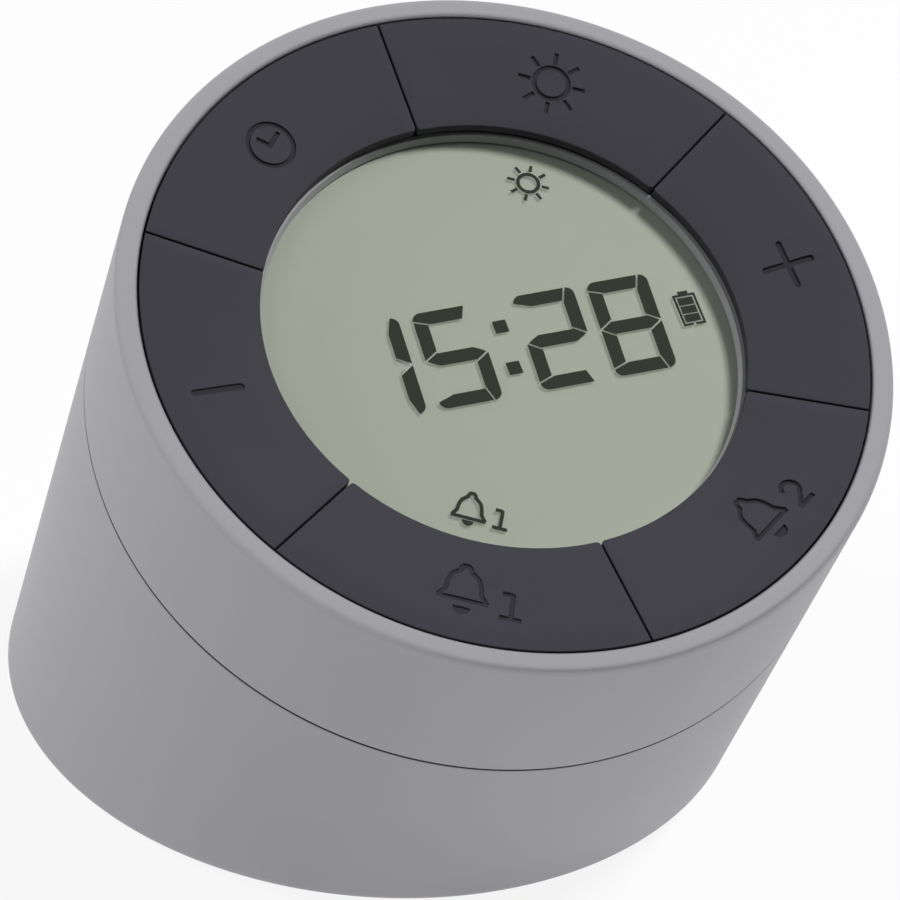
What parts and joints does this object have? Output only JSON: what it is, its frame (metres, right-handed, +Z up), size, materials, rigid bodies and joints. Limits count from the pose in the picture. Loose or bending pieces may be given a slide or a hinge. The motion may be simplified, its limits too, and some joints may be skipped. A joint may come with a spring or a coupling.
{
  "type": "desk alarm clock",
  "caption": "Round desk alarm clock: a slant-cut silver cylinder with dished keys around a liquid crystal display, and a lamp in its base.",
  "frame": {"origin": "centre of the model's box on the table plane that the slanted base stands on", "axes": "+Z up, the display leans towards -Y, +X is the right of someone who reads the display"},
  "size_m": [0.08, 0.1162, 0.0832],
  "materials": {
    "case_metal": "satin anodised",
    "key_plastic": "fine matte",
    "frame_plastic": "matte",
    "display_glass": "clear",
    "display_back": "matte film",
    "display_ink": "dark segments",
    "pale_plastic": "plain moulded",
    "contact_rubber": "matte",
    "circuit_board": "lacquered board",
    "lamp_board": "white lacquered board",
    "black_plastic": "moulded",
    "steel": "plain bright",
    "lamp_resin": "phosphor resin",
    "frosted_plastic": "frosted",
    "cell_wrap": "shrink film",
    "foam": "foam",
    "red_lead": "cable sheath",
    "white_lead": "cable sheath",
    "black_lead": "cable sheath"
  },
  "bodies": {
    "case": {"head_shell": "case_metal", "body_shell": "case_metal", "key_frame": "frame_plastic", "lcd_glass": "display_glass", "lcd_reflector": "display_back", "lcd_segments": "display_ink", "lcd_holder": "pale_plastic", "contact_strips": "contact_rubber", "main_board": "circuit_board", "charge_board": "circuit_board", "lamp_board": "lamp_board", "controller_chip": "black_plastic", "alarm_sounder": "black_plastic", "key_switches": "black_plastic", "quartz_crystal": "steel", "frame_screws": "steel", "board_screws": "steel", "case_screws": "steel", "lamp_screws": "steel", "tilt_switch": "steel", "charge_socket": "steel", "charge_screws": "steel", "lamp_leds": "lamp_resin", "base_diffuser": "frosted_plastic", "battery_cell": "cell_wrap", "battery_pad": "foam", "cell_leads": "red_lead", "lamp_leads": "white_lead", "charge_leads": "black_lead"},
    "plus_key": {"plus_key": "key_plastic", "plus_stem": "pale_plastic"},
    "light_key": {"light_key": "key_plastic", "light_stem": "pale_plastic"},
    "time_key": {"time_key": "key_plastic", "time_stem": "pale_plastic"},
    "minus_key": {"minus_key": "key_plastic", "minus_stem": "pale_plastic"},
    "alarm_one_key": {"alarm_one_key": "key_plastic", "alarm_one_stem": "pale_plastic"},
    "alarm_two_key": {"alarm_two_key": "key_plastic", "alarm_two_stem": "pale_plastic"}
  },
  "joints": [
    {"name": "plus_press", "type": "slide", "parent": "case", "child": "plus_key", "axis": [0, 0.5, -0.866], "range_m": [0, 0.0005], "stiffness_N_per_m": 1500},
    {"name": "light_press", "type": "slide", "parent": "case", "child": "light_key", "axis": [0, 0.5, -0.866], "range_m": [0, 0.0005], "stiffness_N_per_m": 1500},
    {"name": "time_press", "type": "slide", "parent": "case", "child": "time_key", "axis": [0, 0.5, -0.866], "range_m": [0, 0.0005], "stiffness_N_per_m": 1500},
    {"name": "minus_press", "type": "slide", "parent": "case", "child": "minus_key", "axis": [0, 0.5, -0.866], "range_m": [0, 0.0005], "stiffness_N_per_m": 1500},
    {"name": "alarm_one_press", "type": "slide", "parent": "case", "child": "alarm_one_key", "axis": [0, 0.5, -0.866], "range_m": [0, 0.0005], "stiffness_N_per_m": 1500},
    {"name": "alarm_two_press", "type": "slide", "parent": "case", "child": "alarm_two_key", "axis": [0, 0.5, -0.866], "range_m": [0, 0.0005], "stiffness_N_per_m": 1500}
  ]
}
